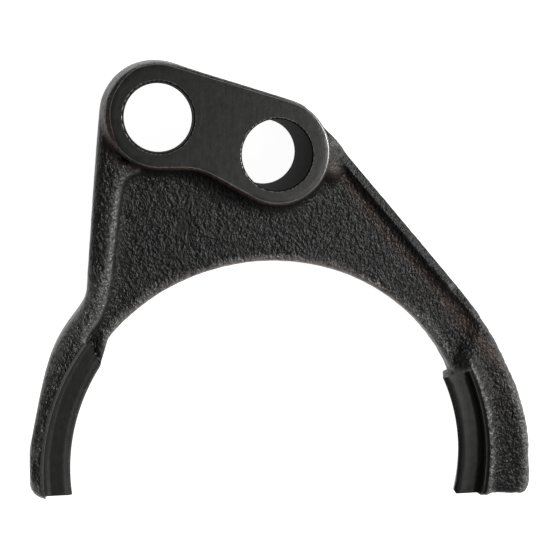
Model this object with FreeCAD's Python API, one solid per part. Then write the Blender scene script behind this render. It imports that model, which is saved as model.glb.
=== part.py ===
"""Shift fork for a gearbox: one iron casting, machined on its boss face, two bores and four pad faces.

Millimetres. The origin is on the axis of the main rail bore, at the machined boss face.
+Z leaves the bore through that face, +X runs from the guide bore towards the main bore,
and the fork opens towards -Y.
"""
import FreeCAD, Part
import math
import os

V = FreeCAD.Vector

# Bores
rail_bore_d = 19.05
guide_bore_d = 18.5
guide_x = -31.4
guide_y = 9.9
bore_chamfer = 0.6

# Cast bosses, which lie a little off the bores; radii at the parting plane
hub_shift_x = 0.4
hub_shift_y = 0.6
guide_shift_x = 0.0
guide_shift_y = 0.35
hub_r = 14.75
guide_boss_r = 14.55
hub_length = 32.0
hub_back_edge = 1.2
guide_boss_length = 12.5

# Boss outline: the straight top edge ends in a knee above the hub, and the lower edge is an S
knee_x = 1.6
knee_y = 15.7
s_slope_deg = 29.0
s_bend_r = 14.0

# Fork opening and its pads
fork_x = -1.0
fork_y = -90.0
web_inner_r = 60.0
pad_r = 57.0
pad_step_r = 64.0
step_bevel = 0.8
pad_chamfer = 0.85
pad_relief_deg = 18.0
right_pad_top_deg = 25.0
left_pad_top_deg = 33.0
left_pad_lean_deg = 5.0
left_arc_end_deg = 41.0

# Levels below the boss face
rib_drop = 4.0
web_drop = 8.0
pad_drop = 9.2
parting_drop = 12.2

# Outer sides of the legs: radius about the fork centre, how far the side stands outside it
# at an angle, and where the legs end
right_leg_r = 75.2
right_leg_points = [(0.0, 30.0), (0.9, 18.0), (2.4, 5.0), (3.2, -4.0)]
right_end_drop = 12.1
right_corner_w = 1.4
right_pad_corner_r = 1.6
left_leg_r = 68.1
bend_out = 9.0
bend_deg = 49.2
left_leg_points = [(4.5, 45.0), (3.3, 38.0), (0.7, 20.0), (0.3, 8.0), (0.0, -0.5)]
left_end_drop = 6.4
left_corner_w = 3.6

# Ribs along both outer edges of the web, each with a crest and a slope down to the web
left_crest_w = 5.4
left_slope_w = 3.4
right_crest_w = 2.2
right_slope_w = 3.0
rib_corner_r = 8.0
rib_corner_drop = 21.5
rib_corner_lap = 1.0
ramp_foot_deg = 38.0
ramp_top_deg = 34.0
ramp_pad_foot_deg = 27.0
ramp_pad_top_deg = 21.0
left_rib_end_deg = 37.0

# Cast roundings, and the draft of the outer sides away from the parting plane
crest_edge_r = 2.0
face_edge_r = 2.0
face_skim = 0.5
boss_foot_r = 3.0
side_draft_deg = 2.0
end_draft_deg = 8.0

# Back of the casting, which rises from the legs to the guide boss
taper_top_drop = 12.0
taper_foot_rise = 54.0

# Rows of facets in a rounding and in the slope of a rib
round_steps = 3
pocket_steps = 4

# How far the cutting tools reach past the casting, and the least distance that counts
clear = 40.0
tiny = 0.001
tool_near_r = pad_r / 2
tool_far_r = 2 * web_inner_r
tool_turn_deg = 40.0

guide = V(guide_x, guide_y, 0)
fork = V(fork_x, fork_y, 0)
hub_boss = V(hub_shift_x, hub_shift_y, 0)
guide_boss = guide + V(guide_shift_x, guide_shift_y, 0)
knee = V(knee_x, knee_y, 0)
right_end_y = fork_y - right_end_drop
left_end_y = fork_y - left_end_drop

crest_z = -rib_drop
web_z = -web_drop
pad_z = -pad_drop
parting_z = -parting_drop
back_crest_z = 2 * parting_z - crest_z


def heading(degrees):
    """Unit vector at an angle from +X."""
    a = math.radians(degrees)
    return V(math.cos(a), math.sin(a), 0)


def angle_of(vector):
    return math.degrees(math.atan2(vector.y, vector.x))


def right_polar(radius, degrees):
    """Point about the fork centre, with the angle measured upwards from +X."""
    return fork + heading(degrees) * radius


def left_polar(radius, degrees):
    """Point about the fork centre, with the angle measured upwards from -X."""
    return fork + heading(180 - degrees) * radius


def touch_angle(centre, radius, point, side):
    """Direction from a circle's centre to where the tangent from a point meets the circle."""
    across = point - centre
    return angle_of(across) + side * math.degrees(math.acos(radius / across.Length))


def arc(centre, radius, start_deg, end_deg):
    """Arc of a circle from one angle to another, in the direction of the change."""
    ends = [centre + heading(a) * radius for a in (start_deg, (start_deg + end_deg) / 2, end_deg)]
    return Part.Arc(*ends).toShape()


def corner(start, end, through):
    return Part.Arc(start, through, end).toShape()


def spline(points, start_tangent):
    """Smooth curve through points that leaves the first one along a tangent."""
    curve = Part.BSplineCurve()
    last = points[-1] - points[-2]
    curve.interpolate(Points=points, InitialTangent=start_tangent, FinalTangent=last.normalize())
    return curve.toShape()


def line(a, b):
    return Part.makeLine(a, b)


def polygon(points):
    return [line(a, b) for a, b in zip(points, points[1:] + points[:1])]


def wire_at(edges, level):
    wire = Part.Wire(edges)
    wire.translate(V(0, 0, level))
    return wire


def stack(rows):
    """Solid through closed outlines at rising or falling levels, given as (edges, level)."""
    return Part.makeLoft([wire_at(edges, level) for edges, level in rows], True, True)


def convex_rows(radius, skim=0.0):
    """Rounded edge as (depth, inset) pairs from the surface down; skim is what was machined off its top."""
    first = math.asin((radius - skim) / radius)
    angles = [first * (1 - i / round_steps) for i in range(round_steps + 1)]
    return [(radius - skim - radius * math.sin(a), radius - radius * math.cos(a)) for a in angles]


def concave_rows(radius):
    """Filled corner as (height, outset) pairs from the floor up."""
    angles = [math.pi / 2 * i / round_steps for i in range(round_steps + 1)]
    return [(radius - radius * math.cos(a), radius - radius * math.sin(a)) for a in angles]


def draft(level, degrees):
    """How far a drafted side has drawn in at a level."""
    return abs(level - parting_z) * math.tan(math.radians(degrees))


def bend_point():
    """Where the straight left flank of the web meets the curve of the left leg."""
    return left_polar(left_leg_r + bend_out, bend_deg)


def flank_angle():
    """Direction that the left flank faces."""
    return 360 + touch_angle(guide_boss, guide_boss_r, bend_point(), -1)


def outline(left, right, end):
    """Closed outline of the fork, moved in by left and right at its sides and by end at the leg ends."""
    hub = hub_r - right
    boss = guide_boss_r - left
    leg = right_leg_r - right
    towards_fork = fork - hub_boss
    right_deg = angle_of(towards_fork) + math.degrees(math.acos((hub - leg) / towards_fork.Length))
    line_top = hub_boss + heading(right_deg) * hub
    line_foot = fork + heading(right_deg) * leg
    flank_deg = flank_angle()
    flank_top = guide_boss + heading(flank_deg) * boss
    flank_foot = bend_point() - heading(flank_deg) * left
    peak = knee + (hub_boss - knee).normalize() * right
    top_deg = touch_angle(guide_boss, boss, peak, 1)
    knee_deg = touch_angle(hub_boss, hub, peak, -1)
    right_points = [right_polar(leg + over, a) for over, a in right_leg_points]
    left_points = [left_polar(left_leg_r - left + over, a) for over, a in left_leg_points]
    right_side = spline([line_foot] + right_points, heading(right_deg - 90))
    left_side = spline([flank_foot] + left_points, heading(flank_deg + 90))
    right_low = right_points[-1]
    left_low = left_points[-1]
    right_y = right_end_y + end
    left_y = left_end_y + end
    quarter = 1 - math.sqrt(0.5)
    right_in = V(right_low.x - right_corner_w, right_y, 0)
    left_in = V(left_low.x + left_corner_w, left_y, 0)
    right_mid = V(right_low.x - quarter * right_corner_w, right_y + quarter * (right_low.y - right_y), 0)
    left_mid = V(left_low.x + quarter * left_corner_w, left_y + quarter * (left_low.y - left_y), 0)
    right_inner = V(fork_x + tool_near_r, right_y, 0)
    left_inner = V(fork_x - tool_near_r, left_y, 0)
    return [
        left_side,
        corner(left_low, left_in, left_mid),
        line(left_in, left_inner),
        line(left_inner, right_inner),
        line(right_inner, right_in),
        corner(right_in, right_low, right_mid),
        right_side,
        line(line_foot, line_top),
        arc(hub_boss, hub, right_deg, knee_deg),
        line(hub_boss + heading(knee_deg) * hub, peak),
        line(peak, guide_boss + heading(top_deg) * boss),
        arc(guide_boss, boss, top_deg, flank_deg),
        line(flank_top, flank_foot),
    ]


def drafted_row(level, inset):
    side = inset + draft(level, side_draft_deg)
    return outline(side, side, inset + draft(level, end_draft_deg)), level


def blank():
    """The fork at the thickness of its legs, drafted from the parting plane, with rounded outer edges."""
    rounding = convex_rows(crest_edge_r)
    front = [drafted_row(crest_z - depth, inset) for depth, inset in rounding]
    back = [drafted_row(back_crest_z + depth, inset) for depth, inset in reversed(rounding)]
    return stack(front + [drafted_row(parting_z, 0)] + back)


def boss_outline(inset):
    """Closed outline of the machined boss face, moved inwards by inset."""
    hub = hub_r - inset
    boss = guide_boss_r - inset
    peak = knee + (hub_boss - knee).normalize() * inset
    top_deg = touch_angle(guide_boss, boss, peak, 1)
    knee_deg = touch_angle(hub_boss, hub, peak, -1)
    slope_deg = s_slope_deg + 90
    slope_foot = hub_boss - heading(slope_deg - 2 * s_slope_deg) * hub
    low_y = guide_boss.y - boss
    along = heading(-s_slope_deg)
    bend = slope_foot + along * ((low_y - slope_foot.y) / along.y)
    bend_r = s_bend_r + inset
    reach = bend_r * math.tan(math.radians(s_slope_deg / 2))
    bend_start = bend - V(reach, 0, 0)
    bend_end = bend + along * reach
    centre = bend_start - V(0, bend_r, 0)
    return [
        line(V(guide_boss.x, low_y, 0), bend_start),
        arc(centre, bend_r, 90, 90 - s_slope_deg),
        line(bend_end, slope_foot),
        arc(hub_boss, hub, -90 - s_slope_deg, knee_deg),
        line(hub_boss + heading(knee_deg) * hub, peak),
        line(peak, guide_boss + heading(top_deg) * boss),
        arc(guide_boss, boss, top_deg, 270),
    ]


def boss_row(level, inset):
    return boss_outline(inset + draft(level, side_draft_deg)), level


def boss_plate():
    rows = [boss_row(-depth, inset) for depth, inset in convex_rows(face_edge_r, face_skim)]
    return stack(rows + [boss_row(parting_z, 0), boss_row(-guide_boss_length, 0)])


def boss_foot():
    """Cast fillet between the boss and the web."""
    return stack([(boss_outline(-outset), web_z + height) for height, outset in concave_rows(boss_foot_r)])


def hub_barrel():
    barrel = Part.makeCylinder(hub_r, hub_length + parting_z, hub_boss - V(0, 0, hub_length))
    rim = [e for e in barrel.Edges if abs(e.BoundBox.ZMax + hub_length) < tiny]
    return barrel.makeChamfer(hub_back_edge, rim)


def slope_rows():
    """Slope from a rib's crest to the web, as (share of its width, level) pairs."""
    angles = [math.pi / 2 * i / pocket_steps for i in range(pocket_steps + 1)]
    return [(1 - math.cos(a), crest_z - (web_drop - rib_drop) * math.sin(a)) for a in angles]


def web_pocket():
    """What is sunk between the ribs, from above their crests down to the web."""
    rows = [(outline(left_crest_w, right_crest_w, 0), clear)]
    for share, level in slope_rows():
        left = left_crest_w + left_slope_w * share
        right = right_crest_w + right_slope_w * share
        rows.append((outline(left, right, 0), level))
    return stack(rows).cut([leg_ramp(), left_leg_keep()])


def rib_corner():
    """Rounds the corner of the sunk web between the left rib and the guide boss."""
    side_deg = flank_angle()
    side = heading(side_deg)
    down = heading(side_deg + 90)
    base = guide_boss + side * (guide_boss_r - left_crest_w - rib_corner_r)
    centre = base + down * ((guide_boss.y - rib_corner_drop - base.y) / down.y)
    reach = rib_corner_r + rib_corner_lap
    up = V(0, 1, 0)
    rows = []
    for share, level in slope_rows() + [(1, parting_z)]:
        r = rib_corner_r - left_slope_w * share
        rows.append(([
            arc(centre, r, side_deg, 90),
            line(centre + up * r, centre + up * reach),
            line(centre + up * reach, centre + up * reach + side * reach),
            line(centre + up * reach + side * reach, centre + side * reach),
            line(centre + side * reach, centre + side * r),
        ], level))
    return stack(rows)


def left_leg_keep():
    """The left leg outside its pad, below the end of its rib's slope."""
    sides = [left_polar(tool_far_r, a) for a in (left_rib_end_deg, -tool_turn_deg)]
    leg = slab([fork] + sides, -2 * clear, 2 * clear)
    return leg.cut(disc(pad_step_r - step_bevel, -3 * clear, 3 * clear))


def ramp_outline(pad_deg, rib_deg):
    """Plan of the right leg's crest, up to a line from its pad to its rib."""
    return polygon([
        right_polar(web_inner_r, pad_deg),
        right_polar(right_leg_r, rib_deg),
        right_polar(tool_far_r, rib_deg),
        right_polar(tool_far_r, -tool_turn_deg),
        right_polar(web_inner_r, -tool_turn_deg),
    ])


def leg_ramp():
    """Where the right leg's crest runs down to the web."""
    foot = ramp_outline(ramp_pad_foot_deg, ramp_foot_deg)
    top = ramp_outline(ramp_pad_top_deg, ramp_top_deg)
    return stack([(foot, web_z - tiny), (top, crest_z), (top, 2 * clear)])


def mirrored(shape):
    """The same on the back, about the parting plane."""
    return shape.mirror(V(0, 0, parting_z), V(0, 0, 1))


def disc(radius, bottom, top):
    """Round cutter about the fork centre."""
    return Part.makeCylinder(radius, top - bottom, fork + V(0, 0, bottom))


def slab(points, bottom, top):
    return stack([(polygon(points), bottom), (polygon(points), top)])


def pad_recess():
    """Machined recess over both pads, down to their front faces."""
    right = [right_polar(r, a) for r, a in (
        (tool_near_r, right_pad_top_deg),
        (tool_far_r, right_pad_top_deg),
        (tool_far_r, -tool_turn_deg),
        (tool_near_r, -tool_turn_deg),
    )]
    inner_tip = left_polar(pad_r, left_pad_top_deg)
    outer_tip = left_polar(pad_step_r, left_pad_top_deg + left_pad_lean_deg)
    past_tip = (outer_tip - inner_tip).normalize() * clear
    left = [
        inner_tip - past_tip,
        outer_tip + past_tip,
        left_polar(tool_far_r, -tool_turn_deg),
        left_polar(tool_near_r, -tool_turn_deg),
    ]
    wall = disc(pad_step_r, pad_z, clear)
    base = fork + V(0, 0, crest_z - step_bevel)
    bevel = Part.makeCone(pad_step_r, pad_step_r + 2 * step_bevel, 2 * step_bevel, base)
    return [cutter.common(slab(side, pad_z, clear)) for side in (right, left) for cutter in (wall, bevel)]


def fork_opening():
    """The pads' bore, and the wider arc of the web between them."""
    between = slab([
        fork,
        right_polar(tool_far_r, right_pad_top_deg),
        right_polar(2 * tool_far_r, 90),
        left_polar(tool_far_r, left_arc_end_deg),
        left_polar(web_inner_r, left_arc_end_deg),
        left_polar(pad_r, left_pad_top_deg),
    ], -2 * clear, clear)
    return [disc(pad_r, -2 * clear, clear), disc(web_inner_r, -2 * clear, clear).common(between)]


def pad_edge():
    """Chamfer along the inner edge of the pads' front faces."""
    over = pad_chamfer / 2
    base = fork + V(0, 0, pad_z - pad_chamfer)
    return Part.makeCone(pad_r, pad_r + pad_chamfer + over, pad_chamfer + over, base)


def pad_relief():
    """The pads' inner wall leans away from the sleeve, from its front edge to the back of the pads."""
    top = pad_z - pad_chamfer
    depth = top - (2 * parting_z - pad_z)
    lean = depth * math.tan(math.radians(pad_relief_deg))
    return Part.makeCone(pad_r + lean, pad_r, depth, fork + V(0, 0, top - depth))


def pad_corner():
    """Rounds the inner corner of the right leg's end."""
    r = right_pad_corner_r
    y = right_end_y + r
    x = fork_x + math.sqrt((pad_r + r) ** 2 - (y - fork_y) ** 2)
    far = V(x - 3 * r, y - 3 * r, 0)
    block = slab([V(x, y, 0), V(far.x, y, 0), far, V(x, far.y, 0)], -2 * clear, clear)
    return block.cut(Part.makeCylinder(r, 3 * clear, V(x, y, -2 * clear)))


def back_taper():
    """What lies behind the casting's back, from the guide boss down to the legs."""
    points = [
        V(-2 * clear, clear, -guide_boss_length),
        V(-2 * clear, guide_boss.y - taper_top_drop, -guide_boss_length),
        V(-2 * clear, fork_y + taper_foot_rise, back_crest_z),
        V(-2 * clear, fork_y + taper_foot_rise, -2 * clear),
        V(-2 * clear, clear, -2 * clear),
    ]
    return Part.Face(Part.Wire(polygon(points))).extrude(V(4 * clear, 0, 0))


def bore(centre, diameter, length):
    """A bore through a boss, with a chamfer at both mouths."""
    radius = diameter / 2
    over = bore_chamfer / 2
    wide = radius + bore_chamfer + over
    deep = bore_chamfer + over
    hole = Part.makeCylinder(radius, length + 2 * clear, centre - V(0, 0, length + clear))
    front = Part.makeCone(radius, wide, deep, centre - V(0, 0, bore_chamfer))
    back = Part.makeCone(wide, radius, deep, centre - V(0, 0, length + over))
    return [hole, front, back]


def shift_fork():
    pocket = web_pocket()
    recesses = pad_recess()
    edge = pad_edge()
    body = blank().cut([pocket, mirrored(pocket), back_taper()])
    for piece in (boss_plate(), hub_barrel(), boss_foot().common(blank()), rib_corner()):
        body = body.fuse(piece)
    body = body.cut(fork_opening() + recesses + [mirrored(r) for r in recesses])
    body = body.cut([edge, pad_relief(), pad_corner()])
    rail_bore = bore(V(0, 0, 0), rail_bore_d, hub_length)
    guide_bore = bore(guide, guide_bore_d, guide_boss_length)
    return body.cut(rail_bore + guide_bore)


def main():
    os.makedirs("parts", exist_ok=True)
    shift_fork().exportStep("parts/shift_fork.step")


main()
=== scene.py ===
"""Looks of the shift fork: dark cast iron skin with fine grain, and its machined faces. Metres."""
import bmesh
import bpy
import math
import numpy as np
from mathutils import Matrix, Vector, noise
from mathutils.kdtree import KDTree


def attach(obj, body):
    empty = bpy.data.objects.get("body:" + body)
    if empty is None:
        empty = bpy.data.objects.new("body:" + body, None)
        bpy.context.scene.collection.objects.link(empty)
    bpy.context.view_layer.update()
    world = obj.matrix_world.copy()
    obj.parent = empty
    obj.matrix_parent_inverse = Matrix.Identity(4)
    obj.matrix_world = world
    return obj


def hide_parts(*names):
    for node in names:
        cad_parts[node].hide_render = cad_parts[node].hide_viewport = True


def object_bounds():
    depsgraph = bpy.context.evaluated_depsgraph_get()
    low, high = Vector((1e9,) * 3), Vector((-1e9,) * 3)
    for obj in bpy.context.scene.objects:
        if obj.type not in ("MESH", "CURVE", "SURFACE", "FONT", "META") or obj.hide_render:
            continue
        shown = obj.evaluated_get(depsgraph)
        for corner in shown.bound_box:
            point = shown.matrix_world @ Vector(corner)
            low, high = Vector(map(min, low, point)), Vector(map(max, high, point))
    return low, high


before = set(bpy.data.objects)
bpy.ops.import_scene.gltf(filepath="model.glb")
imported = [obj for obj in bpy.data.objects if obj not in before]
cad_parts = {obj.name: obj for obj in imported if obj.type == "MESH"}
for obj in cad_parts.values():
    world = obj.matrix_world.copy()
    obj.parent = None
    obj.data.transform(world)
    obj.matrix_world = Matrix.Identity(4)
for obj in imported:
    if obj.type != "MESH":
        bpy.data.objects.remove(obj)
cad_lo, cad_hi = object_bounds()

MM = 0.001

# The picture: its size, focal length, the point that the bores' axes run to, and the main bore's centre
PICTURE_PX = 560
FOCAL_PX = 1000
AXIS_PX = (137.0, 120.0)
BORE_PX = (277.476, 154.998)
FACE_DISTANCE = 0.26736
SENSOR_MM = 36.0
NEAREST_SEEN = 0.01

# From here on, lengths are in millimetres and angles in degrees unless a name says otherwise. X runs to the
# right, Y up and Z to the front, and z is 0 on the boss face. A pair is where a change sets in and is full.

# Machined surfaces: centres, and profiles as z and radius
RAIL_BORE = (0.0, 0.0)
GUIDE_BORE = (-31.4, 9.9)
FORK = (-1.0, -90.0)
RAIL_PROFILE = ((0.0, 10.125), (-0.6, 9.525), (-31.4, 9.525), (-32.0, 10.125))
GUIDE_PROFILE = ((0.0, 9.85), (-0.6, 9.25), (-11.9, 9.25), (-12.5, 9.85))
PAD_PROFILE = ((-9.2, 57.85), (-10.05, 57.0), (-15.2, 58.67))
STEP_FRONT = ((-4.0, 64.8), (-4.8, 64.0), (-9.2, 64.0))
STEP_BACK = ((-15.2, 64.0), (-19.6, 64.0), (-20.4, 64.8))
BORES = ((RAIL_BORE, RAIL_PROFILE), (GUIDE_BORE, GUIDE_PROFILE))
ROUND_SURFACES = BORES + ((FORK, PAD_PROFILE), (FORK, STEP_FRONT), (FORK, STEP_BACK))
PAD_FRONT_Z = -9.2
PAD_BACK_Z = -15.2
HUB_BACK_Z = -32.0
STEP_R = 64.0
SNAP = 0.09
ON_PLANE = 0.01

# The pads' top edges: the right one lies on a ray, and the left one leans by an angle over the pad's width
RIGHT_PAD_DEG = 25.3
LEFT_PAD_DEG = 33.3
PAD_R = 57
PAD_WIDTH = 7
PAD_LEAN_DEG = 5

# The mesh: longest edges on the cast front, elsewhere on the casting and on machined faces, in metres
FRONT_EDGE = 0.72 * MM
BACK_EDGE = 1.3 * MM
FLAT_EDGE = 2.0 * MM
FRONT_Z = -13.5
SPLIT_ROUNDS = 12
WELD_M = 2e-6
NO_EDGE_M = 1e-6
SAME_Z_M = 1e-6
ON_LEVEL_M = 1e-5
LEVEL_NORMAL = 0.99
SHARP_DEG = 50
# The number of triangles that the dressed fork is brought down to
TRIANGLES = 190000

# Rounding of the casting's facets: steps, share of the way in each, and the most that a point moves
SOFTENING_STEPS = 14
SOFTENING_SHARE = 0.6
MOST_SOFTENED = 1.2
SECOND_STEPS = 6
SECOND_SHARE = 0.5
SKIN_STEPS = 3
CREST_STEPS = 10
TINY = 1e-9
NO_LENGTH = 1e-12

# Broken edges of the bores, and the thin rim round the boss face, which is dropped a little and has a painted
# highlight
RIM_WIDTH = 0.22
RIM_DROP = 0.09
RIM_REACH = 0.9
RIM_BEND = 0.8

# The right leg's hollow, between its pad's step and its outer side
LEG_HOLLOW = 1.2
LEG_HOLLOW_R = (65.2, 68.4)
LEG_OUTER_R = 76.0
LEG_HOLLOW_RUN = 7.6
LEG_HOLLOW_END_DEG = (20, 30)
LEG_LOWEST_Z = -9

# The right rib: the line of its foot, its height, and the slopes on both sides of its crest
RIB_DEG = 41.2
RIB_LINE = 14.75
RIB_WIDTH = 6
RIB_LOWEST_Z = -8
RIB_HEIGHT = 2.1
RIB_FOOT = 5.2
RIB_RISE = 2.7
RIB_CREST = 2.5
RIB_OUTER_SLOPE = 0.38
RIB_LEAST_X = 8
RIB_LEAST_DEG = 20
RIB_START_DEG = (36, 44)
RIB_FROM_FACE = (0.5, 4)
FACE_REACH = 9.0

# The ramp from that rib to the right leg
LEG_RAMP_MOST_DEG = 44
LEG_RAMP_SINK = 0.5
LEG_RAMP_DEG = (12, 32)
LEG_RAMP_R = (64.9, 68)

# The left rib's ridge: its top, the slope to the web, the fill beside it and the worn bevel
RIDGE_MOST_X = -30
RIDGE_MOST_Y = 2
RIDGE_REACH = 2.5
RIDGE_TOP_Z = (-4.06, -3.9)
RIDGE_TOP_NORMAL = 0.9
RIDGE_SLOPE_Z = (-7.5, -4.15)
RIDGE_SLOPE_NORMAL = 0.35
FILL_TOP_Z = -4.1
FILL_Z = (-8.3, -4.02)
FILL_NORMAL = 0.05
FILL_MOST_X = -28
FILL_END = (1.1, 1.9)
BEVEL_WIDTH = 0.6
BEVEL_SLOPE = 0.48
BEVEL_LOWEST_Z = -4.9
BEVEL_MOST_Y = 6

# The hub's side, which runs out to the right rib in a broad rounding
HUB_CENTRE = (0.4, 0.6)
HUB_SIDE_START_DEG = (-34, -16)
HUB_SIDE_END_DEG = (6, 26)
HUB_SIDE_END_R = (18.0, 21.0)
HUB_WALL_R = 14.2
HUB_SIDE_LOWEST_Z = -8.6
ROUNDING_R = 14.3
ROUNDING_TOP_Z = -1.6
ROUNDING_SLOPE = 0.8

# The share of a change from which a point counts as reshaped and is smoothed once more
RESHAPED = 0.02

# The web's run-out to the left pad's face
RUN_OUT_DEG = 33
RUN_OUT_REACH = (-0.5, 7)
RUN_OUT_LENGTH = (0, 6)
RUN_OUT_END_R = (62.5, 65.5)
RUN_OUT_MOST_R = 66
RUN_OUT_LOWEST_Z = -9.1

# The left wall's flare: how far it stands out, and where, by x, y, depth and distance to the guide bore
FLARE = 1.3
FLARE_X = (12, 36)
FLARE_Y = (-45, 16)
FLARE_DEPTH = (0.6, 8.0)
FLARE_END_DEPTH = (15.0, 20.0)
FLARE_FAR = (11.2, 14.0)
FLARE_ALL_ROUND = 0.4
FLARE_SIDEWAYS = 0.6
FACE_DRAW = 0.7
FACE_DRAW_X = (36, 43)
FACE_DRAW_FAR = (10.6, 13.0)
NEAR_FACE = 0.3
FACE_WALL_Z = -1.0

# Painted highlights on the crests, on the left ridge's bevel and on the fill beside it, weaker round the guide
# boss
CREST_HEIGHT = (0.03, 0.16)
BEVEL_HIGHLIGHT = 0.8
BEVEL_HIGHLIGHT_WIDTH = (0.1, 0.6)
FILL_HIGHLIGHT = 0.9
BOSS_DULL = 0.9
BOSS_DULL_Y = (-8, 2)
BOSS_DULL_X = (20, 36)

# The skin's relief: feature size and height, and how much more there is on the coarse right leg
COARSE_X = (38, 62)
COARSE_DOWN = (25, 60)
LUMP_SIZE = 2.6
LUMP_HEIGHT = 0.04
LUMP_COARSE_HEIGHT = 0.15
WAVE_SIZE = 11.0
WAVE_HEIGHT = 0.05
GRAIN_SIZE = 1.25
GRAIN_HEIGHT = 0.04
GRAIN_COARSE_HEIGHT = 0.08
NOISE_SHIFT = (17.3, 5.1, 9.7)
NOISE_ROUGHNESS = 1.0
NOISE_LACUNARITY = 2.0

# Rust in the boss's foot, and in the grooves along the right rib and leg
RUST_REACH = (2.2, 6.5)
RUST_LEAN = 0.33
RUST_BELOW = (-3.5, 3.0)
RUST_DEPTH = (9, 11)
GROOVE_INSIDE = 5.4
GROOVE_WIDTH = 1.7
GROOVE_X = (10, 16)
GROOVE_LOWEST_Z = -10
GROOVE_RUST = 0.55
LEG_GROOVE_R = 70.2
LEG_GROOVE_WIDTH = 2.2
LEG_GROOVE_START_DEG = (2, 30)
LEG_GROOVE_END_DEG = (36, 42)
LEG_GROOVE_RUST = 0.25

# The edge of the web's arc: a pale tint with a painted highlight, brightest near its middle
ARC_R = 60.3
ARC_WIDTH = (0.3, 1.3)
ARC_LOWEST_Z = -10.5
ARC_UP = (34, 50)
ARC_LEAST = 0.45
ARC_MORE = 0.55
ARC_MIDDLE_X = 5
ARC_REACH = 28

# Material slots of the fork's mesh, in order: cast skin, machined faces, rim with a painted highlight, bore
# walls
BORED = 3

# Colours
CAST_DARK = (0.013, 0.0128, 0.0122, 1)
CAST_LIGHT = (0.025, 0.0247, 0.0237, 1)
CAST_COARSE = (0.010, 0.010, 0.0095, 1)
# Painted highlight on crests
CREST_HIGHLIGHT = (0.16, 0.158, 0.15, 1)
CAST_RUST = (0.085, 0.056, 0.043, 1)
# Pale tint with a painted highlight on the web's arc edge
ARC_TINT_AND_HIGHLIGHT = (0.30, 0.26, 0.23, 1)
BORE_DARK = (0.010, 0.010, 0.0095, 1)
BORE_LIGHT = (0.024, 0.024, 0.023, 1)
MACHINED_DARK = (0.034, 0.034, 0.0325, 1)
MACHINED_LIGHT = (0.050, 0.050, 0.048, 1)
# Painted highlight on the thin rim round the boss face
RIM_HIGHLIGHT_DARK = (0.12, 0.118, 0.11, 1)
RIM_HIGHLIGHT_LIGHT = (0.30, 0.29, 0.275, 1)
FLOOR_COLOUR = (0.40, 0.40, 0.40, 1)
WORLD_COLOUR = (0.035, 0.035, 0.035, 1)

# Surfaces: noise scales per metre, and bump heights in metres
FINE_SCALE = 1300
COARSE_SCALE = 700
COARSE_SHARE = 0.9
GRAIN_TURN_DEG = -35
GRAIN_STRETCH = (1.0, 0.8, 1.0)
GRAIN_BUMP = 0.00062
PATCH_SCALE = 140
SPECK_SCALE = 1500
NOISE_RANGE = (0.3, 0.7)
COARSE_TINT = 0.5
CREST_SPECKS = (0.3, 0.65)
CREST_LEAST = 0.35
RUST_SPECKS = (0.28, 0.6)
ARC_SPECKS = (0.3, 0.62)
CAST_LEAST_ROUGH = 0.26
CAST_MOST_ROUGH = 0.36
RING_SCALE = 1800
RING_STRETCH = (0.1, 0.1, 1.0)
MOTTLE_SCALE = 420
STREAK_SCALE = 900
STREAK_TURN_DEG = 40
STREAK_STRETCH = (1.0, 0.12, 1.0)
STREAK_SHARE = 0.5
TOOL_BUMP = 0.00006
METALLIC = 0.5
MACHINED_ROUGHNESS = 0.33
BORE_ROUGHNESS = 0.65
BORE_SPECULAR = 0.02
RUST_ROUGHNESS = 0.25

# The floor's glow, and half its side in metres
FLOOR_GLOW = 0.97
FLOOR_HALF = 3.0

# Lamps, in metres and watts: name, direction by shares of right, up and back, distance, size and power
LAMP_TARGET = (0.0, -0.045, -0.01)
LAMPS = (
    ("key_light", (0.80, 0.03, 0.60), 1.3, 0.48, 14.0),
    ("front_light", (0.42, -0.30, 0.86), 1.2, 0.4, 1.3),
    ("side_light", (1.0, 0.25, 0.12), 0.6, 0.25, 0.6),
    ("top_light", (-0.3, 0.9, 0.45), 0.8, 0.3, 0.7),
    ("low_light", (0.15, -0.95, 0.40), 0.8, 0.3, 0.5),
)


def radius_at(profile, z):
    heights = [p[0] for p in profile][::-1]
    radii = [p[1] for p in profile][::-1]
    return np.interp(z, heights, radii)


def near_profile(co, centre, profile):
    """Which points lie on a machined surface of revolution, with their radius and the true one."""
    r = np.hypot(co[:, 0] - centre[0], co[:, 1] - centre[1])
    target = radius_at(profile, co[:, 2])
    top = profile[0][0] + SNAP
    low = profile[-1][0] - SNAP
    return (np.abs(r - target) < SNAP) & (co[:, 2] < top) & (co[:, 2] > low), r, target


def pad_lean(r):
    """How much higher the left pad's top edge lies at a radius than at the pad's inner arc."""
    return (r - PAD_R) * PAD_LEAN_DEG / PAD_WIDTH


def in_pads(co):
    """Which points lie below the pads' top edges."""
    x = co[:, 0] - FORK[0]
    y = co[:, 1] - FORK[1]
    right = (x > 0) & (np.degrees(np.arctan2(y, x)) < RIGHT_PAD_DEG)
    left = (x < 0) & (np.degrees(np.arctan2(y, -x)) < LEFT_PAD_DEG + pad_lean(np.hypot(x, y)))
    return right | left


def machined_faces(centres):
    """Which faces, by their centres, are machined."""
    hit = np.abs(centres[:, 2]) < ON_PLANE
    hit |= np.abs(centres[:, 2] - HUB_BACK_Z) < ON_PLANE
    pads = in_pads(centres)
    r = np.hypot(centres[:, 0] - FORK[0], centres[:, 1] - FORK[1])
    for z in (PAD_FRONT_Z, PAD_BACK_Z):
        hit |= pads & (np.abs(centres[:, 2] - z) < ON_PLANE) & (r < STEP_R + SNAP)
    for centre, profile in ROUND_SURFACES:
        on, _, _ = near_profile(centres, centre, profile)
        if centre == FORK:
            on &= pads
        hit |= on
    return hit


def split_long_edges(bm, limit):
    """Halves every edge longer than its limit, until none is left."""
    for _ in range(SPLIT_ROUNDS):
        long = [e for e in bm.edges if e.calc_length() > limit(e)]
        if not long:
            break
        bmesh.ops.subdivide_edges(bm, edges=long, cuts=1)
        bmesh.ops.triangulate(bm, faces=[f for f in bm.faces if len(f.verts) > 3])


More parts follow.
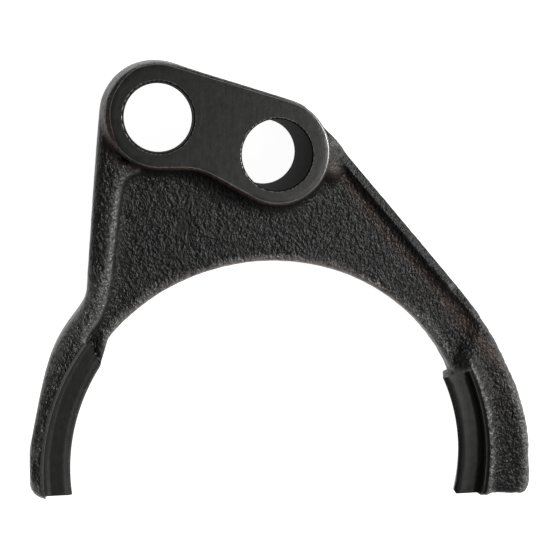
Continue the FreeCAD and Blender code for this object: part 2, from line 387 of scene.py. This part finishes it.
def flat_level(z):
    """Whether a height, in metres, is that of a flat machined face."""
    levels = (0.0, PAD_FRONT_Z * MM, PAD_BACK_Z * MM, HUB_BACK_Z * MM)
    return min(abs(z - level) for level in levels) < ON_LEVEL_M


def edge_limit(edge):
    a, b = (v.co for v in edge.verts)
    if abs(a.z - b.z) < SAME_Z_M and flat_level(a.z) and not edge.is_boundary:
        level = all(abs(f.normal.z) > LEVEL_NORMAL for f in edge.link_faces)
        return FLAT_EDGE if level else FRONT_EDGE
    return FRONT_EDGE if max(a.z, b.z) > FRONT_Z * MM else BACK_EDGE


def skin_mesh(source):
    """A fine copy of the solid's surface, with the boss face's rim marked for its painted highlight."""
    bm = bmesh.new()
    bm.from_mesh(source.data)
    bmesh.ops.remove_doubles(bm, verts=bm.verts, dist=WELD_M)
    bmesh.ops.dissolve_degenerate(bm, edges=bm.edges, dist=NO_EDGE_M)
    # The rim's faces get the material with the painted highlight
    lit_rim = bm.faces.layers.int.new("lit_rim")
    face = [f for f in bm.faces if abs(f.calc_center_median().z) < ON_LEVEL_M]
    inset = bmesh.ops.inset_region(bm, faces=face, thickness=RIM_WIDTH * MM, use_even_offset=True)
    for f in inset["faces"]:
        f[lit_rim] = 1
    bmesh.ops.triangulate(bm, faces=bm.faces)
    split_long_edges(bm, edge_limit)
    mesh = bpy.data.meshes.new("fork_skin")
    bm.to_mesh(mesh)
    bm.free()
    return mesh


def vertex_array(mesh):
    co = np.empty(len(mesh.vertices) * 3)
    mesh.vertices.foreach_get("co", co)
    return co.reshape(-1, 3)


def triangle_array(mesh):
    tri = np.empty(len(mesh.polygons) * 3, dtype=np.int64)
    mesh.polygons.foreach_get("vertices", tri)
    return tri.reshape(-1, 3)


def edge_array(mesh):
    edges = np.empty(len(mesh.edges) * 2, dtype=np.int64)
    mesh.edges.foreach_get("vertices", edges)
    return edges.reshape(-1, 2)


def averaged(values, edges, count):
    """Mean of each vertex's neighbours."""
    total = np.zeros_like(values)
    for k in range(values.shape[1]):
        total[:, k] = np.bincount(edges[:, 0], values[edges[:, 1], k], count)
        total[:, k] += np.bincount(edges[:, 1], values[edges[:, 0], k], count)
    degree = np.bincount(edges.ravel(), minlength=count)
    return total / degree[:, None]


def vertex_normals(co, tri):
    a, b, c = co[tri[:, 0]], co[tri[:, 1]], co[tri[:, 2]]
    face = np.cross(b - a, c - a)
    normal = np.zeros_like(co)
    for k in range(3):
        for corner in range(3):
            normal[:, k] += np.bincount(tri[:, corner], face[:, k], len(co))
    return normal / np.maximum(np.linalg.norm(normal, axis=1), NO_LENGTH)[:, None]


def noise_field(co, scale, octaves, seed):
    """Fractal noise at each point, with a feature size."""
    shift = Vector([seed * s for s in NOISE_SHIFT])
    out = np.empty(len(co))
    for i, p in enumerate(co):
        out[i] = noise.fractal(Vector(p) / scale + shift, NOISE_ROUGHNESS, NOISE_LACUNARITY, octaves)
    return out


def ramp(value, low, high):
    """Smooth step from 0 at low to 1 at high."""
    t = np.clip((value - low) / (high - low), 0, 1)
    return t * t * (3 - 2 * t)


def bell(value, middle, width):
    """1 at the middle, falling smoothly to both sides."""
    return np.exp(-((value - middle) / width) ** 2)


def between(value, low, high):
    return (value > low) & (value < high)


def distance_to(co, targets, reach):
    """Distance of each point to the nearest target, up to a reach."""
    tree = KDTree(len(targets))
    for i, p in enumerate(targets):
        tree.insert(p, i)
    tree.balance()
    out = np.full(len(co), reach)
    low = targets.min(0) - reach
    high = targets.max(0) + reach
    for i in np.nonzero(((co > low) & (co < high)).all(axis=1))[0]:
        out[i] = min(tree.find(co[i])[2], reach)
    return out


def set_float(mesh, name, values):
    layer = mesh.attributes.new(name, "FLOAT", "POINT")
    layer.data.foreach_set("value", values.astype(np.float32))


class Skin:
    """The fork's surface as arrays: points, triangles, edges, and which of them are machined."""

    def __init__(self, mesh):
        self.co = vertex_array(mesh) / MM
        self.tri = triangle_array(mesh)
        self.edges = edge_array(mesh)
        self.centres = self.co[self.tri].mean(axis=1)
        self.cut = machined_faces(self.centres)
        self.fixed = self.points_of(self.cut)

    def points_of(self, faces):
        hit = np.zeros(len(self.co), dtype=bool)
        hit[self.tri[faces].ravel()] = True
        return hit

    def averaged(self, values):
        return averaged(values, self.edges, len(self.co))

    def smooth(self, steps, share, still):
        """Moves each point that isn't still part of the way to the mean of its neighbours."""
        for _ in range(steps):
            move = self.averaged(self.co) - self.co
            move[still] = 0
            self.co += share * move

    def settle(self):
        """Each point's place about the fork's centre and inside the right rib's line. x, y and z stay live."""
        self.x = self.co[:, 0]
        self.y = self.co[:, 1]
        self.z = self.co[:, 2]
        self.fx = self.x - FORK[0]
        self.fy = self.y - FORK[1]
        self.r = np.hypot(self.fx, self.fy)
        self.right_deg = np.degrees(np.arctan2(self.fy, self.fx))
        towards = np.array([math.cos(math.radians(RIB_DEG)), math.sin(math.radians(RIB_DEG))])
        line = RIB_LINE + HUB_CENTRE[0] * towards[0] + HUB_CENTRE[1] * towards[1]
        self.inside = line - self.co[:, :2] @ towards


def make_true(skin):
    """Puts the points of round machined surfaces on their true radius."""
    co = skin.co
    for centre, profile in ROUND_SURFACES:
        on, r, target = near_profile(co, centre, profile)
        if centre == FORK:
            on &= in_pads(co)
        on &= skin.fixed
        for k in range(2):
            co[on, k] = centre[k] + (co[on, k] - centre[k]) * (target[on] / r[on])


def narrow_rim(skin, centre, profile):
    """Draws the front rim of a bore in, so that its broken edge is narrow."""
    co = skin.co
    r = np.hypot(co[:, 0] - centre[0], co[:, 1] - centre[1])
    wall = profile[1][1]
    near = skin.fixed & (co[:, 2] > profile[1][0]) & (r > wall) & (r < profile[0][1] + RIM_REACH)
    share = (r[near] - wall) / (profile[0][1] + RIM_REACH - wall)
    drawn = wall + (r[near] - wall) * share ** RIM_BEND
    for k in range(2):
        co[near, k] = centre[k] + (co[near, k] - centre[k]) * drawn / r[near]


def soften(skin):
    """Rounds the casting's facets, moving no point too far."""
    skin.start = skin.co.copy()
    skin.smooth(SOFTENING_STEPS, SOFTENING_SHARE, skin.fixed)
    drawn = skin.co - skin.start
    far = np.linalg.norm(drawn, axis=1)
    skin.co = skin.start + drawn * np.minimum(1, MOST_SOFTENED / np.maximum(far, TINY))[:, None]


def skin_depth(skin):
    """How far into the cast skin a point lies, from 0 at a machined edge to 1."""
    depth = np.where(skin.fixed, 0.0, 1.0)
    for _ in range(SKIN_STEPS):
        depth = np.minimum(depth, skin.averaged(depth[:, None])[:, 0])
    return depth


def hollow_right_leg(skin):
    on_leg = (skin.fx > 0) & ~skin.fixed & (skin.z > LEG_LOWEST_Z)
    hollow = ramp(skin.r, *LEG_HOLLOW_R) * np.clip((LEG_OUTER_R - skin.r) / LEG_HOLLOW_RUN, 0, 1)
    sunk = LEG_HOLLOW * hollow * (1 - ramp(skin.right_deg, *LEG_HOLLOW_END_DEG))
    skin.co[:, 2] -= np.where(on_leg, sunk, 0)


def lower_right_rib(skin):
    """Gives the right rib a low crest and gentle slopes, and returns which points were reached."""
    on_rib = (skin.x > RIB_LEAST_X) & ~skin.fixed & (skin.z > RIB_LOWEST_Z)
    on_rib &= (skin.right_deg > RIB_LEAST_DEG) & (skin.inside < RIB_WIDTH)
    on_face = skin.fixed & (np.abs(skin.z) < ON_PLANE)
    from_face = distance_to(skin.co, skin.co[on_face], FACE_REACH)
    low = ramp(skin.right_deg, *RIB_START_DEG) * ramp(from_face, *RIB_FROM_FACE)
    gentle = RIB_LOWEST_Z + RIB_HEIGHT * np.clip((RIB_FOOT - skin.inside) / RIB_RISE, 0, 1)
    gentle = gentle - RIB_OUTER_SLOPE * np.clip(RIB_CREST - skin.inside, 0, RIB_CREST)
    skin.co[:, 2] += np.where(on_rib, low * (np.minimum(skin.z, gentle) - skin.z), 0)
    return on_rib


def lower_leg_ramp(skin):
    """Lowers the ramp to the right leg, and returns which points were reached."""
    on_ramp = (skin.fx > 0) & ~skin.fixed & (skin.z > RIB_LOWEST_Z)
    on_ramp &= skin.right_deg < LEG_RAMP_MOST_DEG
    sunk = LEG_RAMP_SINK * ramp(skin.right_deg, *LEG_RAMP_DEG) * ramp(skin.r, *LEG_RAMP_R)
    skin.co[:, 2] -= np.where(on_ramp, (skin.z - RIB_LOWEST_Z) * sunk, 0)
    return on_ramp & (sunk > RESHAPED)


def wear_left_ridge(skin):
    """Fills the left rib's slope beside its ridge and bevels the ridge. Returns how much of each."""
    start_z = skin.start[:, 2]
    normal = vertex_normals(skin.start, skin.tri)
    low_left = (skin.x < RIDGE_MOST_X) & (skin.y < RIDGE_MOST_Y) & ~skin.fixed
    slope = (normal[:, 0] > RIDGE_SLOPE_NORMAL) & between(start_z, *RIDGE_SLOPE_Z) & low_left
    beside = distance_to(skin.start, skin.start[slope], RIDGE_REACH)
    flat = skin.start * (1, 1, 0)
    top = between(start_z, *RIDGE_TOP_Z) & (normal[:, 2] > RIDGE_TOP_NORMAL) & low_left
    from_top = distance_to(flat, flat[top], RIDGE_REACH)
    on_slope = (normal[:, 0] > FILL_NORMAL) & between(start_z, *FILL_Z) & (skin.x < FILL_MOST_X)
    on_slope &= (skin.y < RIDGE_MOST_Y) & ~skin.fixed
    filled = np.where(on_slope, 1 - ramp(from_top, *FILL_END), 0)
    skin.co[:, 2] += filled * (np.maximum(skin.z, FILL_TOP_Z - BEVEL_SLOPE * from_top) - skin.z)
    on_ridge = (skin.z > BEVEL_LOWEST_Z) & (skin.x < FILL_MOST_X)
    on_ridge &= (skin.y < BEVEL_MOST_Y) & ~skin.fixed
    bevel = np.where(on_ridge, np.clip(BEVEL_WIDTH - beside, 0, BEVEL_WIDTH), 0)
    skin.co[:, 2] -= BEVEL_SLOPE * bevel
    return filled, bevel


def round_hub_side(skin):
    """Rounds the hub's side out to the right rib, and returns how much of it each point has."""
    hx = skin.x - HUB_CENTRE[0]
    hy = skin.y - HUB_CENTRE[1]
    from_hub = np.hypot(hx, hy)
    hub_deg = np.degrees(np.arctan2(hy, hx))
    side = ramp(hub_deg, *HUB_SIDE_START_DEG) * (1 - ramp(hub_deg, *HUB_SIDE_END_DEG))
    side = side * (1 - ramp(from_hub, *HUB_SIDE_END_R))
    on_side = (hx > 0) & ~skin.fixed & (from_hub > HUB_WALL_R) & (skin.z > HUB_SIDE_LOWEST_Z)
    side = np.where(on_side, side, 0)
    rounding = ROUNDING_TOP_Z - ROUNDING_SLOPE * (from_hub - ROUNDING_R)
    skin.co[:, 2] += side * (np.maximum(skin.z, rounding) - skin.z)
    return side


def run_out_web(skin):
    """Runs the web down to the left pad's face without a step."""
    left_deg = np.degrees(np.arctan2(skin.fy, -skin.fx))
    past = (left_deg - RUN_OUT_DEG - pad_lean(skin.r)) * math.radians(1) * skin.r
    near_pad = (skin.fx < 0) & ~skin.fixed & between(past, *RUN_OUT_REACH)
    near_pad &= (skin.z > RUN_OUT_LOWEST_Z) & (skin.r < RUN_OUT_MOST_R)
    gentle = (1 - ramp(past, *RUN_OUT_LENGTH)) * (1 - ramp(skin.r, *RUN_OUT_END_R))
    skin.co[:, 2] -= np.where(near_pad, (skin.z - PAD_FRONT_Z) * gentle, 0)


def flare_left(skin):
    """The cast wall round the guide boss and down the left flank stands out towards the parting plane."""
    co = skin.co
    left = ramp(-co[:, 0], *FLARE_X) * ramp(co[:, 1], *FLARE_Y)
    deep = ramp(-co[:, 2], *FLARE_DEPTH) * (1 - ramp(-co[:, 2], *FLARE_END_DEPTH))
    away = co[:, :2] - np.array(GUIDE_BORE)
    away[:, 1] = np.maximum(away[:, 1], 0)
    far = np.linalg.norm(away, axis=1)
    outer = ramp(far, *FLARE_FAR)
    sideways = FLARE_ALL_ROUND + FLARE_SIDEWAYS * np.maximum(-away[:, 0], 0) / np.maximum(far, 1)
    push = np.where(skin.fixed, 0, FLARE * left * deep * outer * sideways) / np.maximum(far, 1)
    co[:, :2] += away * push[:, None]
    face = (np.abs(co[:, 2]) < NEAR_FACE) | (skin.fixed & (co[:, 2] > FACE_WALL_Z))
    drawn = FACE_DRAW * ramp(-co[:, 0], *FACE_DRAW_X) * ramp(far, *FACE_DRAW_FAR)
    co[:, 0] += np.where(face, drawn, 0)


def painted_crest_highlights(skin, normal, filled, bevel):
    """Where the skin stands out of its surroundings, and how much painted highlight it gets there."""
    rounded = skin.co
    for _ in range(CREST_STEPS):
        rounded = skin.averaged(rounded)
    stands_out = ((skin.co - rounded) * normal).sum(axis=1)
    crest = np.where(skin.fixed, 0, ramp(stands_out, *CREST_HEIGHT))
    ridge = np.maximum(BEVEL_HIGHLIGHT * ramp(bevel, *BEVEL_HIGHLIGHT_WIDTH), FILL_HIGHLIGHT * filled)
    crest = np.maximum(crest, ridge)
    crest *= 1 - BOSS_DULL * ramp(skin.y, *BOSS_DULL_Y) * ramp(-skin.x, *BOSS_DULL_X)
    return crest


def skin_height(skin, coarse):
    """Lumps, waves and grain of the cast skin."""
    lumps = noise_field(skin.co, LUMP_SIZE, octaves=3, seed=1)
    lumps = (LUMP_HEIGHT + LUMP_COARSE_HEIGHT * coarse) * lumps
    waves = WAVE_HEIGHT * noise_field(skin.co, WAVE_SIZE, octaves=2, seed=2)
    grain = noise_field(skin.co, GRAIN_SIZE, octaves=2, seed=3)
    return lumps + waves + (GRAIN_HEIGHT + GRAIN_COARSE_HEIGHT * coarse) * grain


def rust_share(skin, rim):
    """Brown tint in the boss's foot, along the right rib's groove and along the right leg's."""
    below = ramp(-(skin.y + RUST_LEAN * skin.x), *RUST_BELOW)
    rim_far = distance_to(skin.co, skin.co[rim], FACE_REACH)
    foot = (1 - ramp(rim_far, *RUST_REACH)) * below * (1 - ramp(-skin.z, *RUST_DEPTH))
    groove = bell(skin.inside, GROOVE_INSIDE, GROOVE_WIDTH) * ramp(skin.x, *GROOVE_X)
    groove = groove * (skin.z > GROOVE_LOWEST_Z)
    leg_groove = bell(skin.r, LEG_GROOVE_R, LEG_GROOVE_WIDTH) * (skin.fx > 0)
    leg_groove = leg_groove * (1 - ramp(skin.right_deg, *LEG_GROOVE_END_DEG))
    leg_groove = leg_groove * ramp(skin.right_deg, *LEG_GROOVE_START_DEG)
    return np.clip(foot + GROOVE_RUST * groove + LEG_GROOVE_RUST * leg_groove, 0, 1)


def arc_edge_tint_and_highlight(skin):
    """How much pale tint and painted highlight the edge of the web's arc gets."""
    edge = (1 - ramp(np.abs(skin.r - ARC_R), *ARC_WIDTH)) * (skin.z > ARC_LOWEST_Z)
    edge = edge * ramp(skin.fy, *ARC_UP)
    edge *= ARC_LEAST + ARC_MORE * bell(skin.x, ARC_MIDDLE_X, ARC_REACH)
    return np.where(skin.fixed, 0, edge)


def set_materials(mesh, skin):
    lit_rim = np.zeros(len(skin.tri), dtype=np.int32)
    mesh.attributes["lit_rim"].data.foreach_get("value", lit_rim)
    # The rim's faces take the slot with the painted highlight
    kind = skin.cut.astype(np.int32) + lit_rim
    for centre, profile in BORES:
        kind[near_profile(skin.centres, centre, profile)[0]] = BORED
    mesh.polygons.foreach_set("material_index", kind)


def dress(mesh):
    """Rounds the casting's facets, makes the machined surfaces true, and roughens the cast skin."""
    skin = Skin(mesh)
    make_true(skin)
    for centre, profile in BORES:
        narrow_rim(skin, centre, profile)
    soften(skin)
    depth = skin_depth(skin)
    skin.settle()
    hollow_right_leg(skin)
    reshaped = lower_right_rib(skin)
    reshaped |= lower_leg_ramp(skin)
    filled, bevel = wear_left_ridge(skin)
    side = round_hub_side(skin)
    reshaped |= (side > RESHAPED) | (filled > RESHAPED)
    skin.smooth(SECOND_STEPS, SECOND_SHARE, ~reshaped)
    run_out_web(skin)
    flare_left(skin)
    normal = vertex_normals(skin.co, skin.tri)
    # How much painted highlight each point of the skin gets
    crest = painted_crest_highlights(skin, normal, filled, bevel)
    coarse = ramp(skin.x, *COARSE_X) * ramp(-skin.y, *COARSE_DOWN)
    skin.co += normal * (skin_height(skin, coarse) * depth)[:, None]
    rim = skin.fixed & skin.points_of(~skin.cut) & (np.abs(skin.z) < ON_PLANE)
    rust = rust_share(skin, rim)
    skin.co[rim, 2] -= RIM_DROP
    set_float(mesh, "rust", rust)
    set_float(mesh, "arc_edge", arc_edge_tint_and_highlight(skin))
    set_float(mesh, "crest", crest)
    set_float(mesh, "coarse", coarse)
    mesh.vertices.foreach_set("co", (skin.co * MM).ravel())
    set_materials(mesh, skin)
    mesh.update()


def machined_by_material(mesh):
    kind = np.empty(len(mesh.polygons), dtype=np.int32)
    mesh.polygons.foreach_get("material_index", kind)
    return kind > 0


def thinned(mesh):
    """The same surface with fewer triangles. Points of machined surfaces aren't merged."""
    kept = np.zeros(len(mesh.vertices), dtype=bool)
    kept[triangle_array(mesh)[machined_by_material(mesh)].ravel()] = True
    full = bpy.data.objects.new("full_skin", mesh)
    bpy.context.scene.collection.objects.link(full)
    group = full.vertex_groups.new(name="free")
    group.add(np.nonzero(~kept)[0].tolist(), 1.0, "REPLACE")
    fewer = full.modifiers.new("fewer", "DECIMATE")
    fewer.ratio = TRIANGLES / len(mesh.polygons)
    fewer.use_collapse_triangulate = True
    fewer.vertex_group = group.name
    graph = bpy.context.evaluated_depsgraph_get()
    result = bpy.data.meshes.new_from_object(full.evaluated_get(graph))
    bpy.data.objects.remove(full)
    return result


def mark_cut_edges(mesh):
    """Keeps the border between a machined surface and the cast skin crisp."""
    tri = triangle_array(mesh)
    edges = edge_array(mesh)
    count = int(edges.max()) + 1
    key = np.sort(edges, axis=1)
    key = key[:, 0] * count + key[:, 1]
    sides = np.concatenate([tri[:, [0, 1]], tri[:, [1, 2]], tri[:, [2, 0]]])
    sides = np.sort(sides, axis=1)
    sides = sides[:, 0] * count + sides[:, 1]
    order = np.argsort(key)
    place = order[np.searchsorted(key[order], sides)]
    machined = np.bincount(place, np.tile(machined_by_material(mesh), 3).astype(float), len(edges))
    sharp = np.empty(len(edges), dtype=bool)
    layer = mesh.attributes.get("sharp_edge") or mesh.attributes.new("sharp_edge", "BOOLEAN", "EDGE")
    layer.data.foreach_get("value", sharp)
    layer.data.foreach_set("value", sharp | (machined == 1))


def mark_edges(mesh):
    """Smooth shading, with crisp edges round the machined surfaces and at sharp angles."""
    mesh.polygons.foreach_set("use_smooth", np.ones(len(mesh.polygons), dtype=bool))
    mesh.set_sharp_from_angle(angle=math.radians(SHARP_DEG))
    mark_cut_edges(mesh)


class Nodes:
    """Short calls for a material's node tree."""

    def __init__(self, name):
        self.material = bpy.data.materials.new(name)
        self.material.use_nodes = True
        self.tree = self.material.node_tree
        self.tree.nodes.clear()

    def add(self, kind, **settings):
        node = self.tree.nodes.new(kind)
        for key, value in settings.items():
            setattr(node, key, value)
        return node

    def join(self, a, b):
        self.tree.links.new(a, b)

    def put(self, socket, value):
        if isinstance(value, bpy.types.NodeSocket):
            self.join(value, socket)
        else:
            socket.default_value = value

    def math(self, operation, a, b):
        node = self.add("ShaderNodeMath", operation=operation)
        self.put(node.inputs[0], a)
        self.put(node.inputs[1], b)
        return node.outputs[0]

    def mix(self, factor, a, b):
        node = self.add("ShaderNodeMix", data_type="RGBA")
        self.put(node.inputs[0], factor)
        self.put(node.inputs[6], a)
        self.put(node.inputs[7], b)
        return node.outputs[2]

    def ramp(self, value, low, high, first=0.0, last=1.0):
        node = self.add("ShaderNodeMapRange", clamp=True)
        self.put(node.inputs[0], value)
        for socket, number in zip(node.inputs[1:5], (low, high, first, last)):
            socket.default_value = number
        return node.outputs[0]

    def noise(self, place, scale, detail=2.0, rough=0.5):
        node = self.add("ShaderNodeTexNoise")
        self.join(place, node.inputs["Vector"])
        node.inputs["Scale"].default_value = scale
        node.inputs["Detail"].default_value = detail
        node.inputs["Roughness"].default_value = rough
        return node.outputs[0]

    def place(self):
        return self.add("ShaderNodeTexCoord").outputs["Object"]

    def stretched(self, place, turn_deg, scale):
        node = self.add("ShaderNodeMapping")
        self.join(place, node.inputs["Vector"])
        node.inputs["Rotation"].default_value = (0, 0, math.radians(turn_deg))
        node.inputs["Scale"].default_value = scale
        return node.outputs[0]

    def attribute(self, name):
        return self.add("ShaderNodeAttribute", attribute_name=name).outputs["Fac"]

    def bump(self, height, distance):
        node = self.add("ShaderNodeBump")
        self.join(height, node.inputs["Height"])
        node.inputs["Distance"].default_value = distance
        node.inputs["Strength"].default_value = 1.0
        return node.outputs[0]

    def surface(self, colour, roughness, normal, metallic, specular=0.5):
        shader = self.add("ShaderNodeBsdfPrincipled")
        self.put(shader.inputs["Base Color"], colour)
        self.put(shader.inputs["Roughness"], roughness)
        self.put(shader.inputs["Normal"], normal)
        shader.inputs["Metallic"].default_value = metallic
        shader.inputs["Specular IOR Level"].default_value = specular
        self.join(shader.outputs[0], self.add("ShaderNodeOutputMaterial").inputs[0])
        return self.material


def cast_material():
    """Grained dark skin, with painted highlights on crests, brown where it rusts, and a pale tint with a
    painted highlight on the web's arc edge.
    """
    n = Nodes("cast_iron_skin")
    place = n.place()
    lean = n.stretched(place, GRAIN_TURN_DEG, GRAIN_STRETCH)
    fine = n.noise(lean, FINE_SCALE, detail=2.5, rough=0.6)
    coarse = n.noise(lean, COARSE_SCALE, detail=2.0, rough=0.55)
    normal = n.bump(n.math("ADD", fine, n.math("MULTIPLY", coarse, COARSE_SHARE)), GRAIN_BUMP)
    patches = n.noise(place, PATCH_SCALE, detail=3.0)
    specks = n.noise(place, SPECK_SCALE, detail=2.0, rough=0.6)
    colour = n.mix(patches, CAST_DARK, CAST_LIGHT)
    colour = n.mix(n.math("MULTIPLY", n.attribute("coarse"), COARSE_TINT), colour, CAST_COARSE)
    # Painted highlight on crests, broken into specks
    crest_highlight = n.math("MULTIPLY", n.attribute("crest"), n.ramp(specks, *CREST_SPECKS, first=CREST_LEAST))
    colour = n.mix(crest_highlight, colour, CREST_HIGHLIGHT)
    rust = n.math("MULTIPLY", n.attribute("rust"), n.ramp(specks, *RUST_SPECKS))
    colour = n.mix(rust, colour, CAST_RUST)
    # Pale tint with a painted highlight on the arc's edge, broken into specks
    arc_highlight = n.math("MULTIPLY", n.attribute("arc_edge"), n.ramp(specks, *ARC_SPECKS))
    colour = n.mix(arc_highlight, colour, ARC_TINT_AND_HIGHLIGHT)
    rough = n.ramp(patches, *NOISE_RANGE, first=CAST_LEAST_ROUGH, last=CAST_MOST_ROUGH)
    rough = n.math("ADD", rough, n.math("MULTIPLY", rust, RUST_ROUGHNESS))
    return n.surface(colour, rough, normal, METALLIC)


def bored_material():
    """Dull bore walls with faint rings."""
    n = Nodes("bored_iron")
    rings = n.noise(n.stretched(n.place(), 0, RING_STRETCH), RING_SCALE)
    colour = n.mix(rings, BORE_DARK, BORE_LIGHT)
    return n.surface(colour, BORE_ROUGHNESS, n.bump(rings, TOOL_BUMP), 0.0, BORE_SPECULAR)


def machined_material(name, dark, light):
    """A flat machined face with faint mottling and streaks."""
    n = Nodes(name)
    place = n.place()
    mottle = n.noise(place, MOTTLE_SCALE, detail=4.0, rough=0.65)
    streaks = n.noise(n.stretched(place, STREAK_TURN_DEG, STREAK_STRETCH), STREAK_SCALE)
    normal = n.bump(n.math("ADD", mottle, n.math("MULTIPLY", streaks, STREAK_SHARE)), TOOL_BUMP)
    colour = n.mix(n.ramp(mottle, *NOISE_RANGE), dark, light)
    return n.surface(colour, MACHINED_ROUGHNESS, normal, METALLIC)


def floor_material():
    """Pale floor that is white to the eye and still takes the shadow."""
    n = Nodes("pale_floor")
    diffuse = n.add("ShaderNodeBsdfDiffuse")
    diffuse.inputs["Color"].default_value = FLOOR_COLOUR
    glow = n.add("ShaderNodeEmission")
    glow.inputs["Strength"].default_value = FLOOR_GLOW
    both = n.add("ShaderNodeAddShader")
    n.join(diffuse.outputs[0], both.inputs[0])
    n.join(glow.outputs[0], both.inputs[1])
    path = n.add("ShaderNodeLightPath")
    seen = n.math("MAXIMUM", path.outputs["Is Camera Ray"], path.outputs["Is Glossy Ray"])
    seen = n.math("MAXIMUM", seen, path.outputs["Is Transmission Ray"])
    pick = n.add("ShaderNodeMixShader")
    n.join(seen, pick.inputs[0])
    n.join(diffuse.outputs[0], pick.inputs[1])
    n.join(both.outputs[0], pick.inputs[2])
    n.join(pick.outputs[0], n.add("ShaderNodeOutputMaterial").inputs[0])
    return n.material


def make_fork():
    mesh = skin_mesh(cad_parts["shift_fork"])
    mesh.materials.append(cast_material())
    mesh.materials.append(machined_material("machined_iron", MACHINED_DARK, MACHINED_LIGHT))
    # The boss face's rim: a painted highlight
    mesh.materials.append(machined_material("rim_highlight", RIM_HIGHLIGHT_DARK, RIM_HIGHLIGHT_LIGHT))
    mesh.materials.append(bored_material())
    dress(mesh)
    mesh = thinned(mesh)
    mark_edges(mesh)
    piece = bpy.data.objects.new("fork_casting", mesh)
    bpy.context.scene.collection.objects.link(piece)
    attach(piece, "root")
    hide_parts("shift_fork")


def make_floor():
    mesh = bpy.data.meshes.new("floor")
    z = cad_lo.z
    corners = [(x * FLOOR_HALF, y * FLOOR_HALF, z) for x, y in ((-1, -1), (1, -1), (1, 1), (-1, 1))]
    mesh.from_pydata(corners, [], [(0, 1, 2, 3)])
    mesh.materials.append(floor_material())
    floor = bpy.data.objects.new("floor", mesh)
    bpy.context.scene.collection.objects.link(floor)


def towards_pixel(pixel):
    """The camera's ray through a pixel, with a depth of 1."""
    middle = PICTURE_PX / 2
    return Vector(((pixel[0] - middle) / FOCAL_PX, (pixel[1] - middle) / FOCAL_PX, 1))


def make_camera():
    """A camera whose picture has the bores' axes run to one point and the main bore at its place.

    Returns the directions to its right, up and back.
    """
    axis = towards_pixel(AXIS_PX).normalized()
    right = (Vector((1, 0, 0)) - axis.x * axis).normalized()
    up = -axis.cross(right)
    to_model = Matrix((right, up, -axis))
    ray = towards_pixel(BORE_PX)
    origin = ray * (FACE_DISTANCE / ray.dot(axis))
    turn = to_model @ Matrix.Diagonal((1, -1, -1))
    data = bpy.data.cameras.new("camera")
    data.sensor_width = SENSOR_MM
    data.lens = SENSOR_MM * FOCAL_PX / PICTURE_PX
    data.clip_start = NEAREST_SEEN
    camera = bpy.data.objects.new("camera", data)
    camera.matrix_world = Matrix.Translation(to_model @ -origin) @ turn.to_4x4()
    bpy.context.scene.collection.objects.link(camera)
    bpy.context.scene.camera = camera
    return to_model @ Vector((1, 0, 0)), to_model @ Vector((0, -1, 0)), to_model @ Vector((0, 0, -1))


def add_light(name, towards, distance, size, power):
    """A soft square lamp that faces the middle of the fork."""
    data = bpy.data.lights.new(name, "AREA")
    data.size = size
    data.energy = power
    lamp = bpy.data.objects.new(name, data)
    towards = towards.normalized()
    lamp.location = Vector(LAMP_TARGET) + towards * distance
    lamp.rotation_mode = "QUATERNION"
    lamp.rotation_quaternion = (-towards).to_track_quat("-Z", "Y")
    bpy.context.scene.collection.objects.link(lamp)


def make_light(right, up, back):
    for name, (to_right, upwards, backwards), distance, size, power in LAMPS:
        towards = right * to_right + up * upwards + back * backwards
        add_light(name, towards, distance, size, power)
    world = bpy.data.worlds.new("studio")
    world.use_nodes = True
    world.node_tree.nodes["Background"].inputs[0].default_value = WORLD_COLOUR
    bpy.context.scene.world = world


make_fork()
make_floor()
make_light(*make_camera())
bpy.context.scene.view_settings.view_transform = "Standard"
